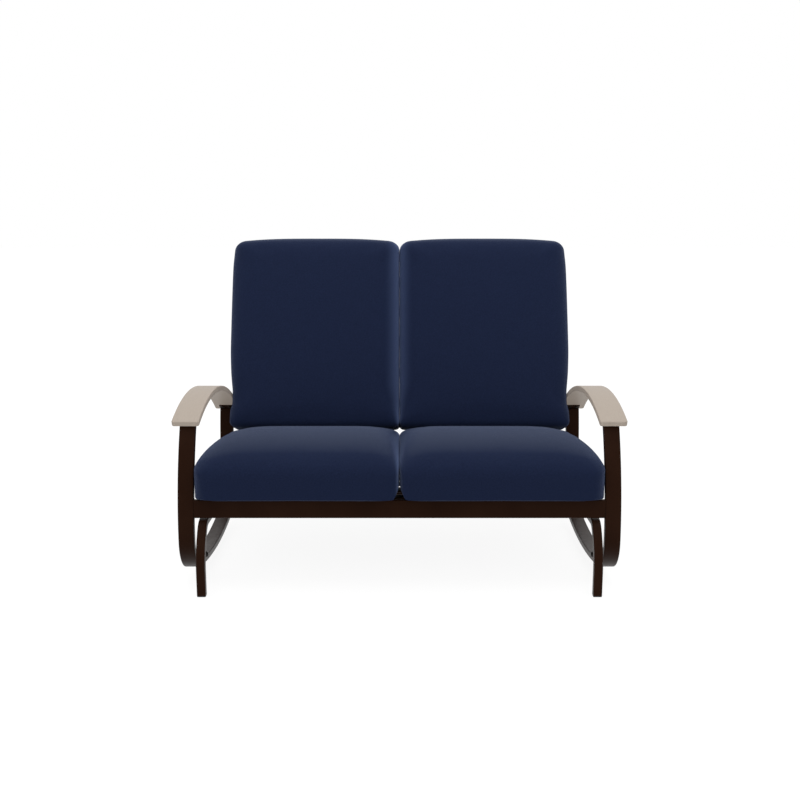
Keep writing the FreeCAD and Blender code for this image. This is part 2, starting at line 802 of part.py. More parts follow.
for number in range(slats_within(deck_length, "seat")):
    near = size("seat_slat_first") + number * size("seat_slat_pitch")
    points = [on_deck(near, -slat_thick), on_deck(near + slat_width, -slat_thick),
              on_deck(near + slat_width, 0), on_deck(near, 0)]
    keep("seat_slat_%d" % (number + 1), across(
        "SeatSlat", softened(points, size("slat_edge_radius")), BEARER_OUTER))

# Back frame: lower rail between the rear posts, leaning stiles, top rail, uprights and slats

lean = math.radians(size("recline"))
back_foot = (size("back_rail_depth"), rear_top + size("back_rail_rise"))


def on_back(along, behind):
    """A place in the back frame: up along its front plane, and behind that plane."""
    return (back_foot[0] + along * math.sin(lean) + behind * math.cos(lean),
            back_foot[1] + along * math.cos(lean) - behind * math.sin(lean))


stile_deep = size("stile_deep")
stile_top = size("back_height") - size("top_rail_tall")
keep("back_lower_rail", across(
    "LowerRail",
    box_outline(back_foot[0], back_foot[1] - size("back_rail_tall"), size("back_rail_deep"),
                size("back_rail_tall"), 1),
    LOOP_INNER))
stile = extruded("Stile", polygon([
    on_back(0, 0), on_back(stile_deep * math.tan(lean), stile_deep),
    on_back(stile_top, stile_deep), on_back(stile_top, 0)]),
    STILE_OUTER + " - stile_width", "stile_width")
keep_pair("back_stile", rounded(stile, "bar_edge_radius", long_edge))
upright = extruded("Upright", polygon([
    on_back(slat_thick * math.tan(lean), slat_thick),
    on_back(stile_deep * math.tan(lean), stile_deep),
    on_back(stile_top, stile_deep), on_back(stile_top, slat_thick)]),
    "upright_half_span - upright_width", "upright_width")
keep_pair("back_upright", rounded(upright, "slat_edge_radius", long_edge))
top_points = [on_back(stile_top, 0), on_back(stile_top, stile_deep),
              on_back(size("back_height"), stile_deep), on_back(size("back_height"), 0)]
keep("back_top_rail", across("TopRail", softened(top_points, radius), STILE_OUTER))
for number in range(slats_within(stile_top, "back")):
    low = size("back_slat_first") + number * size("back_slat_pitch")
    points = [on_back(low, 0), on_back(low, slat_thick), on_back(low + slat_width, slat_thick),
              on_back(low + slat_width, 0)]
    keep("back_slat_%d" % (number + 1), across(
        "BackSlat", softened(points, size("slat_edge_radius")), STILE_OUTER + " - stile_width"))

# Cushions: lofts with a crown and drawn-in sides, cut flat where they rest


def loft(body, sections):
    form = body.newObject("PartDesign::AdditiveLoft", "Form")
    form.Profile = sections[0]
    form.Sections = sections[1:]
    form.Ruled = True
    body.Tip = form
    doc.recompute()


seat_body = doc.addObject("PartDesign::Body", "SeatCushion")
rest = size("cushion_rest")
near_side = size("cushion_gap")
far_side = loop_inner - size("seat_side_clearance")
seat_thick = size("seat_cushion_thick")
seat_front = -size("seat_cushion_overhang")
seat_deep = back_foot[0] - size("seat_rear_clearance") - seat_front
crown = size("cushion_crown_radius")
sections = []
for share, inset, lift, shoulder, crest, low_radius, high_radius in SEAT_FORM:
    depth = share * seat_deep + seat_front
    bottom = deck_height(depth) + rest
    left = near_side + inset
    right = far_side - inset
    outline = softened(
        [(left, bottom + lift), (right, bottom + lift), (right, bottom + shoulder * seat_thick),
         ((left + right) / 2, bottom + crest * seat_thick),
         (left, bottom + shoulder * seat_thick)],
        [low_radius, low_radius, high_radius, crown, high_radius])
    sketch = add_sketch(seat_body, "Section", outline, role="XZ_Plane")
    bind(sketch, "AttachmentOffset.Base.z", "mid_depth - (%r)" % depth)
    sections.append(sketch)
loft(seat_body, sections)
cut_away(seat_body, polygon([
    on_deck(-seat_deep, -seat_thick), on_deck(2 * seat_deep, -seat_thick),
    on_deck(2 * seat_deep, rest), on_deck(-seat_deep, rest)]), True)
drop = -size("back_cushion_drop") - rest
cut_away(seat_body, polygon([
    on_back(drop, -seat_deep), on_back(drop, seat_thick),
    on_back(drop + 2 * seat_thick, seat_thick),
    on_back(drop + 2 * seat_thick, -seat_deep)]), True)
keep_pair("seat_cushion", seat_body)

back_body = doc.addObject("PartDesign::Body", "BackCushion")
full = loop_inner - size("back_side_clearance")
waist = arm_inner - size("waist_clearance")
back_thick = size("back_cushion_thick")
length = size("back_cushion_drop") + size("back_height") + size("back_cushion_over")


def over_arm(behind):
    """Height along the back at which a plane behind its front clears the top of the arm."""
    away = [back_foot[0] - arch[0] + behind * math.cos(lean),
            back_foot[1] - arch[1] - behind * math.sin(lean)]
    along = away[0] * math.sin(lean) + away[1] * math.cos(lean)
    off = away[0] * math.cos(lean) - away[1] * math.sin(lean)
    return math.sqrt(arch_top ** 2 - off ** 2) - along


arm_level = over_arm(-back_thick) + size("back_cushion_drop") + size("arm_top_clearance")


def cushion_height(level, lift):
    """Height over the bottom of the back cushion."""
    heights = {"below arm": lift * arm_level, "arm": arm_level + lift, "top": length + lift}
    return heights[level]


sections = []
for level, lift, inset, widen, rear, shoulder, crest, rear_radius, front_radius in BACK_FORM:
    height = cushion_height(level, lift) - size("back_cushion_drop")
    left = near_side + inset
    right = waist + widen * (full - waist) - inset
    outline = softened(
        [(left, -shoulder * back_thick), ((left + right) / 2, -crest * back_thick),
         (right, -shoulder * back_thick), (right, -rest - rear), (left, -rest - rear)],
        [front_radius, crown, front_radius, rear_radius, rear_radius])
    sketch = add_sketch(back_body, "Section", outline, role="XY_Plane")
    sketch.AttachmentOffset = FreeCAD.Placement(V(0, 0, height), FreeCAD.Rotation())
    sections.append(sketch)
loft(back_body, sections)
cut_away(back_body, polygon([(-rest, -length), (back_thick, -length), (back_thick, 2 * length),
                     (-rest, 2 * length)]), False)
back_body.Placement = FreeCAD.Placement(V(0, back_foot[0], back_foot[1]),
                                        FreeCAD.Rotation(V(1, 0, 0), -size("recline")))
bind(back_body, "Placement.Base.y", "back_rail_depth - mid_depth")
keep_pair("back_cushion", back_body)

# Check and write

doc.recompute()
for obj in doc.Objects:
    faults = {"Invalid", "Error"} & set(obj.State)
    if faults:
        raise RuntimeError("%s (%s): %s" % (obj.Name, obj.Label, ", ".join(sorted(faults))))
os.makedirs("parts", exist_ok=True)
for label, obj in nodes.items():
    shape = obj.Shape
    if shape.isNull() or not shape.isValid():
        raise RuntimeError("%s has no valid shape" % label)
    shape.exportStep(os.path.join("parts", label + ".step"))
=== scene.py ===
import bmesh
import bpy
import math
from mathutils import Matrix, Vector


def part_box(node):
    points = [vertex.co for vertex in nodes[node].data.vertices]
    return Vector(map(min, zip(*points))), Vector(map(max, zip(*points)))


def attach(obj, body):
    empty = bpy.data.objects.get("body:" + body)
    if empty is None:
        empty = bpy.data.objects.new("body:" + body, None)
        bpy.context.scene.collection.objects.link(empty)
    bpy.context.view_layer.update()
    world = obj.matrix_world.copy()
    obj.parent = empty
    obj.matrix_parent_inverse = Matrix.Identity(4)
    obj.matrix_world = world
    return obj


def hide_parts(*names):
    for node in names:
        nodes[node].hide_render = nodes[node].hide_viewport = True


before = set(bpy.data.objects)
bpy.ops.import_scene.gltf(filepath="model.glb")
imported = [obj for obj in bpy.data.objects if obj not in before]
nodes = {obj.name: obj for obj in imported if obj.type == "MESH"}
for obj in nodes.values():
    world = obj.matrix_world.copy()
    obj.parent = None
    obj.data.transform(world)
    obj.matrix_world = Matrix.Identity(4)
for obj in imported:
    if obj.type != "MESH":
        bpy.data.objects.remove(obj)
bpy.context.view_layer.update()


# Powder coat on the welded frame: a dark bronze paint baked on, satin, with the faint orange
# peel of powder and slightly paler patches where the coat is thin.

BRONZE = (0.0183, 0.0065, 0.0029, 1.0)
BRONZE_THIN = (0.0258, 0.0101, 0.0050, 1.0)
BRONZE_GLINT = (0.05, 0.05, 0.05, 1.0)
COAT_SMOOTH, COAT_ROUGH = 0.36, 0.5


def new_finish(name, roughness):
    """A material with its node tree, its shader and object coordinates."""
    finish = bpy.data.materials.new(name)
    finish.use_nodes = True
    tree = finish.node_tree
    shader = tree.nodes["Principled BSDF"]
    shader.inputs["Roughness"].default_value = roughness
    place = tree.nodes.new("ShaderNodeTexCoord")
    return finish, tree, shader, place.outputs["Object"]


def noise(tree, place, spots, detail, stretch=(1, 1, 1)):
    """Noise with so many spots to the metre, stretched by a factor along each axis."""
    mapping = tree.nodes.new("ShaderNodeMapping")
    mapping.inputs["Scale"].default_value = stretch
    tree.links.new(place, mapping.inputs["Vector"])
    texture = tree.nodes.new("ShaderNodeTexNoise")
    texture.inputs["Scale"].default_value = spots
    texture.inputs["Detail"].default_value = detail
    tree.links.new(mapping.outputs["Vector"], texture.inputs["Vector"])
    return texture.outputs["Fac"]


def shades(tree, factor, dark, light, low=0.35, high=0.65):
    """Two shades of a colour, spread by a factor."""
    ramp = tree.nodes.new("ShaderNodeValToRGB")
    ramp.color_ramp.elements[0].position = low
    ramp.color_ramp.elements[0].color = dark
    ramp.color_ramp.elements[1].position = high
    ramp.color_ramp.elements[1].color = light
    tree.links.new(factor, ramp.inputs["Fac"])
    return ramp.outputs["Color"]


def bump(tree, shader, height, depth, strength):
    """Relief of a real depth in metres."""
    relief = tree.nodes.new("ShaderNodeBump")
    relief.inputs["Strength"].default_value = strength
    relief.inputs["Distance"].default_value = depth
    tree.links.new(height, relief.inputs["Height"])
    tree.links.new(relief.outputs["Normal"], shader.inputs["Normal"])


def spread(tree, factor, low, high, first=0.0, last=1.0):
    """The factor, taken from first to last, rescaled to run from low to high."""
    step = tree.nodes.new("ShaderNodeMapRange")
    for socket, value in (("From Min", first), ("From Max", last),
                          ("To Min", low), ("To Max", high)):
        step.inputs[socket].default_value = value
    tree.links.new(factor, step.inputs["Value"])
    return step.outputs["Result"]


powder_coat, tree, shader, place = new_finish("dark_bronze_powder_coat", roughness=0.42)
shader.inputs["Specular IOR Level"].default_value = 0.5
shader.inputs["Specular Tint"].default_value = BRONZE_GLINT
patches = noise(tree, place, spots=9, detail=3)
tree.links.new(shades(tree, patches, BRONZE, BRONZE_THIN, low=0.3, high=0.8),
               shader.inputs["Base Color"])
tree.links.new(spread(tree, noise(tree, place, spots=60, detail=2), COAT_SMOOTH, COAT_ROUGH),
               shader.inputs["Roughness"])
bump(tree, shader, noise(tree, place, spots=700, detail=1), depth=0.00015, strength=0.35)


def paint(names, finish):
    """Gives the named pieces of the frame one finish."""
    for name in names:
        slots = nodes[name].data.materials
        slots.clear()
        slots.append(finish)


# Base: two side bars bent down into bowed legs, joined by two stretchers, all powder coated
# steel. Every leg ends in a moulded black glide that keeps the metal off the floor.

GLIDE_BLACK = (0.008, 0.008, 0.009, 1)
GLIDE_WORN = (0.02, 0.02, 0.021, 1)

paint(["base_side_left", "base_side_right", "base_front_stretcher", "base_rear_stretcher"],
      powder_coat)

glide_black, tree, shader, place = new_finish("black_glide_plastic", roughness=0.55)
scuffs = noise(tree, place, spots=120, detail=3)
tree.links.new(shades(tree, scuffs, GLIDE_BLACK, GLIDE_WORN), shader.inputs["Base Color"])
bump(tree, shader, noise(tree, place, spots=1500, detail=2), depth=0.0001, strength=0.4)
paint(["foot_glides"], glide_black)


# Swing links: four flat steel plates with flanged plastic bushes pressed into both eyes. They
# hang from bolts through the base and carry the seat on bolts through its lugs.

BUSH_BLACK = (0.010, 0.010, 0.011, 1)
BUSH_GREY = (0.018, 0.018, 0.019, 1)
STEEL_BLACK = (0.012, 0.010, 0.009, 1)
STEEL_BROWN = (0.030, 0.026, 0.023, 1)
STEEL_SMOOTH, STEEL_ROUGH = 0.32, 0.5

paint([name for name in nodes if name.startswith("link_plate")], powder_coat)

bush_black, tree, shader, place = new_finish("black_bearing_plastic", roughness=0.38)
mottle = noise(tree, place, spots=300, detail=2)
tree.links.new(shades(tree, mottle, BUSH_BLACK, BUSH_GREY), shader.inputs["Base Color"])
bump(tree, shader, noise(tree, place, spots=2500, detail=1), depth=0.00005, strength=0.3)
paint([name for name in nodes if name.startswith("link_bushes")], bush_black)

blackened, tree, shader, place = new_finish("blackened_steel", roughness=0.4)
shader.inputs["Specular IOR Level"].default_value = 0.3
stains = noise(tree, place, spots=180, detail=4)
tree.links.new(shades(tree, stains, STEEL_BLACK, STEEL_BROWN), shader.inputs["Base Color"])
tree.links.new(spread(tree, noise(tree, place, spots=420, detail=2), STEEL_SMOOTH, STEEL_ROUGH),
               shader.inputs["Roughness"])
bump(tree, shader, noise(tree, place, spots=1800, detail=2), depth=0.00004, strength=0.4)
paint([name for name in nodes if name.startswith(("upper_pivot", "lower_pivot"))]
      + ["arm_screws"], blackened)


# Side loops and seat frame: the flat bars at both sides are bent in one piece and carry the
# welded rails, bearers and slats of the seat, and the lugs for the links.

paint(["side_loop_left", "side_loop_right", "hanger_lugs_left", "hanger_lugs_right",
       "seat_front_rail", "seat_rear_rail"]
      + [name for name in nodes if name.startswith(("seat_bearer", "seat_slat"))], powder_coat)


# Back frame: a lower rail between the rear posts, two leaning stiles, a top rail, two uprights
# and flat slats that carry the back cushions. All of it is welded and powder coated.

paint([name for name in nodes
       if name.startswith(("back_lower", "back_stile", "back_top", "back_upright", "back_slat"))],
      powder_coat)


# Armrests: arched boards of taupe moulded polymer with a faint brushed grain along their length.
# Each is screwed from below to two curved steel brackets on the ends of its loop.

TAUPE = (0.37, 0.313, 0.262, 1)
TAUPE_PALE = (0.405, 0.346, 0.291, 1)
ARM_SMOOTH, ARM_ROUGH = 0.44, 0.58
ARM_GRAIN = (14, 0.9, 0.9)

paint([name for name in nodes if name.startswith("arm_bracket")], powder_coat)

arm_polymer, tree, shader, place = new_finish("taupe_arm_polymer", roughness=0.5)
shader.inputs["Specular IOR Level"].default_value = 0.3
grain = noise(tree, place, spots=60, detail=6, stretch=ARM_GRAIN)
tree.links.new(shades(tree, grain, TAUPE, TAUPE_PALE), shader.inputs["Base Color"])
tree.links.new(spread(tree, grain, ARM_SMOOTH, ARM_ROUGH), shader.inputs["Roughness"])
bump(tree, shader, grain, depth=0.00025, strength=0.3)
paint(["armrest_left", "armrest_right"], arm_polymer)


# Cushion cloth: navy outdoor cloth in a plain weave, with a painted highlight where it faces up
# and a painted sheen, as paler cloth, along the middle where left and right cushions meet. The
# covers are sewn to shape and filled with foam.

NAVY = (0.0066, 0.0121, 0.0372, 1.0)
NAVY_LIGHT = (0.0088, 0.0156, 0.0455, 1.0)
# Painted sheen: a paler navy along the middle seam, standing in for the bright sheen where the
# cushions meet.
NAVY_PAINTED_SEAM = (0.056, 0.082, 0.175, 1.0)
# Painted highlight: a paler navy for cloth that faces up, standing in for the light from above.
NAVY_PAINTED_TOP = (0.026, 0.034, 0.063, 1.0)
NAVY_SHEEN = (0.45, 0.56, 0.88, 1.0)
THREAD = 0.0009
# Height, width and sideways shift of the painted sheen band along the middle seam.
SEAM_SHEEN_LOW, SEAM_SHEEN_HIGH = 0.36, 0.50
SEAM_SHEEN_NARROW, SEAM_SHEEN_WIDE = 0.010, 0.050
SEAM_SHEEN_SHIFT = 0.004
# Upward normal heights over which the painted highlight on up-facing cloth comes in.
TOP_LIGHT_FROM, TOP_LIGHT_TO = 0.80, 0.99


def math_node(tree, operation, first, second, clamp=False):
    """One step of arithmetic on numbers or outputs, held between 0 and 1 on request."""
    step = tree.nodes.new("ShaderNodeMath")
    step.operation = operation
    step.use_clamp = clamp
    for socket, value in zip(step.inputs, (first, second)):
        if isinstance(value, (int, float)):
            socket.default_value = value
        else:
            tree.links.new(value, socket)
    return step.outputs["Value"]


def weave(tree, place, thread):
    """Plain weave without UVs: waves as wide as a thread along every axis, added up."""
    total = 0.0
    for axis in ("X", "Y", "Z"):
        wave = tree.nodes.new("ShaderNodeTexWave")
        wave.bands_direction = axis
        wave.inputs["Scale"].default_value = 1 / (2 * thread)
        wave.inputs["Distortion"].default_value = 0.6
        wave.inputs["Detail"].default_value = 1.0
        tree.links.new(place, wave.inputs["Vector"])
        total = math_node(tree, "ADD", total, wave.outputs["Fac"])
    return total


def blended(tree, factor, colour, other):
    """A colour that turns into another one as the factor rises."""
    blend = tree.nodes.new("ShaderNodeMix")
    blend.data_type = "RGBA"
    tree.links.new(factor, blend.inputs["Factor"])
    tree.links.new(colour, blend.inputs["A"])
    blend.inputs["B"].default_value = other
    return blend.outputs["Result"]


def painted_seam_sheen(tree, place, colour):
    """Painted sheen: paler cloth along the middle where left and right cushions meet, narrow at
    seat height and wider up the back.
    """
    axes = tree.nodes.new("ShaderNodeSeparateXYZ")
    tree.links.new(place, axes.inputs["Vector"])
    width = spread(tree, axes.outputs["Z"], SEAM_SHEEN_NARROW, SEAM_SHEEN_WIDE, first=SEAM_SHEEN_LOW, last=SEAM_SHEEN_HIGH)
    away = math_node(tree, "ABSOLUTE", math_node(tree, "ADD", axes.outputs["X"], SEAM_SHEEN_SHIFT), 0)
    near = math_node(tree, "SUBTRACT", 1, math_node(tree, "DIVIDE", away, width), clamp=True)
    return blended(tree, math_node(tree, "POWER", near, 2), colour, NAVY_PAINTED_SEAM)


def painted_top_light(tree, colour):
    """Painted highlight: paler cloth where it faces up, standing in for the light from above."""
    surface = tree.nodes.new("ShaderNodeNewGeometry")
    axes = tree.nodes.new("ShaderNodeSeparateXYZ")
    tree.links.new(surface.outputs["Normal"], axes.inputs["Vector"])
    upward = spread(tree, axes.outputs["Z"], 0, 1, first=TOP_LIGHT_FROM, last=TOP_LIGHT_TO)
    return blended(tree, upward, colour, NAVY_PAINTED_TOP)


navy_cloth, tree, shader, place = new_finish("navy_outdoor_cloth", roughness=0.85)
shader.inputs["Specular IOR Level"].default_value = 0.1
shader.inputs["Sheen Weight"].default_value = 0.22
shader.inputs["Sheen Roughness"].default_value = 0.42
shader.inputs["Sheen Tint"].default_value = NAVY_SHEEN
threads = shades(tree, noise(tree, place, spots=260, detail=4), NAVY, NAVY_LIGHT)
# Painted light in the cloth colour: a painted highlight where it faces up and a painted sheen
# along the middle seam.
tree.links.new(painted_seam_sheen(tree, place, painted_top_light(tree, threads)), shader.inputs["Base Color"])
bump(tree, shader, weave(tree, place, THREAD), depth=0.00022, strength=0.5)


# Seat cushions: box cushions of foam in the navy cloth, crowned at the front of the seat and
# thinner under the back cushions. They lie loose on the slats and bulge over the front rail.

front_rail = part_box("seat_front_rail")
rear_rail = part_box("seat_rear_rail")
lower_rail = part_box("back_lower_rail")
seat_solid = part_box("seat_cushion_left")
DECK_FRONT = (front_rail[1][1], front_rail[1][2])
DECK_REAR = (rear_rail[0][1], rear_rail[1][2])
DECK_SLOPE = (DECK_REAR[1] - DECK_FRONT[1]) / (DECK_REAR[0] - DECK_FRONT[0])
BACK_FOOT = (lower_rail[0][1], lower_rail[1][2])
BACK_DROP = 0.038
LEAN = math.radians(18.3)
REST_GAP = 0.0003
MIDDLE_GAP = 0.00005
BACK_FLOOR = -BACK_DROP - REST_GAP

COVER_CUTS = 56
FOAM_PRESSURE = 2.5
FOAM_GIVE = 0.004
CLOTH_FRAMES = 20
UNDERSIDE = -0.8
TINY = 1e-9

SEAT_FRONT = seat_solid[0][1]
SEAT_DEPTH = seat_solid[1][1] - SEAT_FRONT
SEAT_HALF = (seat_solid[1][0] - seat_solid[0][0]) / 2
SEAT_EDGE = seat_solid[1][0] + 0.0015
SEAT_NOMINAL = 0.176
SEAT_EDGES = [(-0.9, 0.011), (-0.6, 0.022), (0.1, 0.022), (0.75, 0.030)]
SEAT_HEIGHT = [(0.195, 0.1755), (0.29, 0.166), (0.38, 0.150), (0.567, 0.115), (0.693, 0.080)]
SEAT_DROP = [(0.0, 0.08), (0.03, 0.19), (0.145, 0.34), (0.195, 0.38), (0.254, 0.42),
             (0.347, 0.41), (0.445, 0.36), (0.55, 0.12), (0.693, 0.05)]
OUTER_POWER, INNER_POWER = 5, 10
INNER_DROP = 0.6
NOSE_LEVEL, NOSE_SPREAD = 0.075, 1.6
NOSE_LIFT, NOSE_RUN = 0.010, 0.09
FOOT_SPREAD, FOOT_POWER = 1.4, 4
CORNER, CORNER_RUN = 0.040, 0.05
INNER_CORNER = 0.35
TUCK, TUCK_LEVEL, TUCK_POWER = 0.024, 0.048, 1.3


def smooth_curve(stops, at):
    """Value at a place on a smooth curve through (place, value) stops, without overshoot."""
    if at <= stops[0][0]:
        return stops[0][1]
    if at >= stops[-1][0]:
        return stops[-1][1]
    slopes = [(y1 - y0) / (x1 - x0) for (x0, y0), (x1, y1) in zip(stops, stops[1:])]
    tangents = [slopes[0]]
    for before, after in zip(slopes, slopes[1:]):
        rising = before * after > 0
        tangents.append(2 * before * after / (before + after) if rising else 0.0)
    tangents.append(slopes[-1])
    for number, ((x0, y0), (x1, y1)) in enumerate(zip(stops, stops[1:])):
        if at <= x1:
            break
    run = x1 - x0
    t = (at - x0) / run
    return ((2 * t ** 3 - 3 * t ** 2 + 1) * y0 + (t ** 3 - 2 * t ** 2 + t) * run * tangents[number]
            + (3 * t ** 2 - 2 * t ** 3) * y1 + (t ** 3 - t ** 2) * run * tangents[number + 1])


def padded_box(name, half, radius_of):
    """A box of quads whose edges are rounded; radius_of gives the radius at a place."""
    mesh = bpy.data.meshes.new(name)
    shape = bmesh.new()
    bmesh.ops.create_cube(shape, size=2.0)
    bmesh.ops.subdivide_edges(shape, edges=shape.edges[:], cuts=COVER_CUTS, use_grid_fill=True)
    for vert in shape.verts:
        spot = Vector([vert.co[axis] * half[axis] for axis in range(3)])
        radius = radius_of(spot)
        core = Vector([max(-half[axis] + radius, min(half[axis] - radius, spot[axis]))
                       for axis in range(3)])
        out = spot - core
        if out.length > TINY:
            spot = core + out * (radius / out.length)
        vert.co = spot
    shape.to_mesh(mesh)
    shape.free()
    return mesh


def held(before, after, half):
    """A solved point, held by the foam near its cut place and pressed flat at both sides."""
    push = after - before
    reach = max(push.length, TINY)
    spot = before + push * (FOAM_GIVE * math.tanh(reach / FOAM_GIVE) / reach)
    across = spot.x * (half[0] + FOAM_GIVE) / half[0]
    return Vector((max(-half[0], min(half[0], across)), spot.y, spot.z))


def inflate(mesh, half):
    """Fills a closed cover with foam: pressed out by the cloth simulation, within a few mm."""
    plain = [vert.co.copy() for vert in mesh.vertices]
    pad = bpy.data.objects.new(mesh.name + "_sim", mesh)
    bpy.context.scene.collection.objects.link(pad)
    settings = pad.modifiers.new("Cloth", "CLOTH").settings
    settings.quality = 5
    settings.mass = 0.3
    settings.tension_stiffness = 12
    settings.compression_stiffness = 12
    settings.shear_stiffness = 6
    settings.bending_stiffness = 0.6
    settings.use_pressure = True
    settings.uniform_pressure_force = FOAM_PRESSURE
    settings.effector_weights.gravity = 0
    soften = pad.modifiers.new("Soften", "SMOOTH")
    soften.factor = 0.5
    soften.iterations = 6
    scene = bpy.context.scene
    for number in range(1, CLOTH_FRAMES + 1):
        scene.frame_set(number)
    solved = pad.evaluated_get(bpy.context.evaluated_depsgraph_get()).to_mesh()
    points = [held(before, vert.co, half) for before, vert in zip(plain, solved.vertices)]
    pad.to_mesh_clear()
    scene.frame_set(1)
    bpy.data.objects.remove(pad)
    return points


def seat_radius(spot):
    """Close to square where the cushion lies on the slats, rounder above."""
    return smooth_curve(SEAT_EDGES, spot.z / (SEAT_NOMINAL / 2))


def seat_form(spot):
    """Wedge, round nose and crown of the seat cushion, from a plain padded box."""
    depth = max(0.0, spot.y + SEAT_DEPTH / 2)
    share = (spot.z + SEAT_NOMINAL / 2) / SEAT_NOMINAL
    crest_depth, crest_height = SEAT_HEIGHT[0]
    if depth < crest_depth:
        upright = NOSE_SPREAD + FOOT_SPREAD * max(0.0, 1 - share) ** FOOT_POWER
        depth = crest_depth * (depth / crest_depth) ** upright
        rise = math.sqrt(1 - (1 - depth / crest_depth) ** 2)
        tall = NOSE_LEVEL + (crest_height - NOSE_LEVEL) * rise
    else:
        tall = smooth_curve(SEAT_HEIGHT, depth)
    drop = smooth_curve(SEAT_DROP, depth)
    if spot.x > 0:
        crown = 1 - drop * (spot.x / SEAT_HALF) ** OUTER_POWER
    else:
        crown = 1 - INNER_DROP * drop * (spot.x / SEAT_HALF) ** INNER_POWER
    under = NOSE_LIFT * max(0.0, 1 - depth / NOSE_RUN) ** 2
    ahead = max(0.0, 1 - depth / CORNER_RUN)
    corner = CORNER * (1 - math.sqrt(1 - ahead ** 2))
    if spot.x < 0:
        corner *= INNER_CORNER
    return Vector((spot.x * (1 - corner / SEAT_HALF), depth - SEAT_DEPTH / 2,
                   under + share * (tall * crown - under)))


def seat_place(side, spot):
    """From the cushion's own frame to the row frame, kept off deck, back cushion and middle."""
    tuck = TUCK * max(0.0, 1 - spot.z / TUCK_LEVEL) ** TUCK_POWER
    across = MIDDLE_GAP + (spot.x / SEAT_HALF + 1) * (SEAT_EDGE - MIDDLE_GAP) / 2
    across = max(MIDDLE_GAP + tuck, min(SEAT_EDGE, across))
    y = SEAT_FRONT + SEAT_DEPTH / 2 + spot.y
    deck = DECK_FRONT[1] + DECK_SLOPE * (y - DECK_FRONT[0]) + REST_GAP
    z = deck + max(0.0, spot.z)
    along = (y - BACK_FOOT[0]) * math.sin(LEAN) + (z - BACK_FOOT[1]) * math.cos(LEAN)
    if along > BACK_FLOOR:
        z -= (along - BACK_FLOOR) / math.cos(LEAN)
    return Vector((side * across, y, z))


def cushion_pair(kind, cover, points, form, place_on):
    """Left and right cushion from one solved cover; the right one is its mirror image."""
    for side, word in ((1, "left"), (-1, "right")):
        mesh = cover.copy()
        mesh.name = "%s_%s_cloth" % (kind, word)
        for vert, point in zip(mesh.vertices, points):
            vert.co = place_on(side, form(point))
        if side < 0:
            mesh.flip_normals()
        mesh.update()
        for face in mesh.polygons:
            face.use_smooth = face.normal.z > UNDERSIDE
        mesh.materials.append(navy_cloth)
        cushion = bpy.data.objects.new(mesh.name, mesh)
        bpy.context.scene.collection.objects.link(cushion)
        cushion.modifiers.new("Subdivision", "SUBSURF").render_levels = 1
        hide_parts("%s_%s" % (kind, word))
        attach(cushion, "seat")


seat_box = (SEAT_HALF, SEAT_DEPTH / 2, SEAT_NOMINAL / 2)
seat_cover = padded_box("seat_cushion_cloth", seat_box, seat_radius)
cushion_pair("seat_cushion", seat_cover, inflate(seat_cover, seat_box), seat_form, seat_place)


# Back cushions: thicker box cushions in the same cloth. They lean on the back frame, stand on
# the rear of the seat cushions, and are narrower at the bottom where they pass between the arms.

BACK_HALF = 0.2875
BACK_THICK = 0.132
BACK_LENGTH = 0.665
ARM_LEVEL = 0.0905
BACK_SIDE = [(-0.038, 0.5665), (0.024, 0.5695), (0.044, 0.5640), (ARM_LEVEL, 0.5640),
             (ARM_LEVEL + 0.012, 0.5655), (ARM_LEVEL + 0.075, 0.5714),
             (ARM_LEVEL + 0.15, 0.5742), (0.405, 0.5736), (0.515, 0.5721), (0.585, 0.5668),
             (0.627, 0.5640)]
FOOT_EDGES = [(-0.95, 0.5), (-0.75, 1.0)]
BACK_EDGES = [(-0.6, 0.042), (0.2, 0.034)]
BACK_CROWN = 0.008
END_POWER = 4
TOP_SINK, TOP_ARCH, TOP_POWER = 0.001, 0.015, 3.2


def back_radius(spot):
    """Rounder at the front and at the top, and close to square where it stands on the seat."""
    share = smooth_curve(FOOT_EDGES, spot.z / (BACK_LENGTH / 2))
    return share * smooth_curve(BACK_EDGES, spot.y / (BACK_THICK / 2))


def back_form(spot):
    """Crown of the back cushion's front and of its top edge, from a plain padded box."""
    level = spot.z / (BACK_LENGTH / 2)
    aside = spot.x / BACK_HALF
    front = max(0.0, -spot.y / (BACK_THICK / 2))
    crown = BACK_CROWN * front * (1 - aside ** 2) * (1 - level ** END_POWER)
    near_top = max(0.0, level) ** END_POWER
    arched = -TOP_SINK - TOP_ARCH * near_top * abs(aside) ** TOP_POWER
    return Vector((spot.x, spot.y - crown, spot.z + arched * near_top))


def back_place(side, spot):
    """From the cushion's own frame to the row frame, kept off frame, arms and middle."""
    along = max(-BACK_DROP, spot.z + BACK_LENGTH / 2 - BACK_DROP)
    behind = min(-REST_GAP, spot.y - BACK_THICK / 2)
    edge = smooth_curve(BACK_SIDE, along)
    across = MIDDLE_GAP + (spot.x + BACK_HALF) * (edge - MIDDLE_GAP) / (2 * BACK_HALF)
    across = max(MIDDLE_GAP, min(edge, across))
    return Vector((side * across,
                   BACK_FOOT[0] + along * math.sin(LEAN) + behind * math.cos(LEAN),
                   BACK_FOOT[1] + along * math.cos(LEAN) - behind * math.sin(LEAN)))


back_box = (BACK_HALF, BACK_THICK / 2, BACK_LENGTH / 2)
back_cover = padded_box("back_cushion_cloth", back_box, back_radius)
cushion_pair("back_cushion", back_cover, inflate(back_cover, back_box), back_form, back_place)


# Studio: a pale floor that runs to the horizon, a white room, and large soft lamps. The camera
# stands in front, about a metre above the floor, and looks slightly down at the bench.

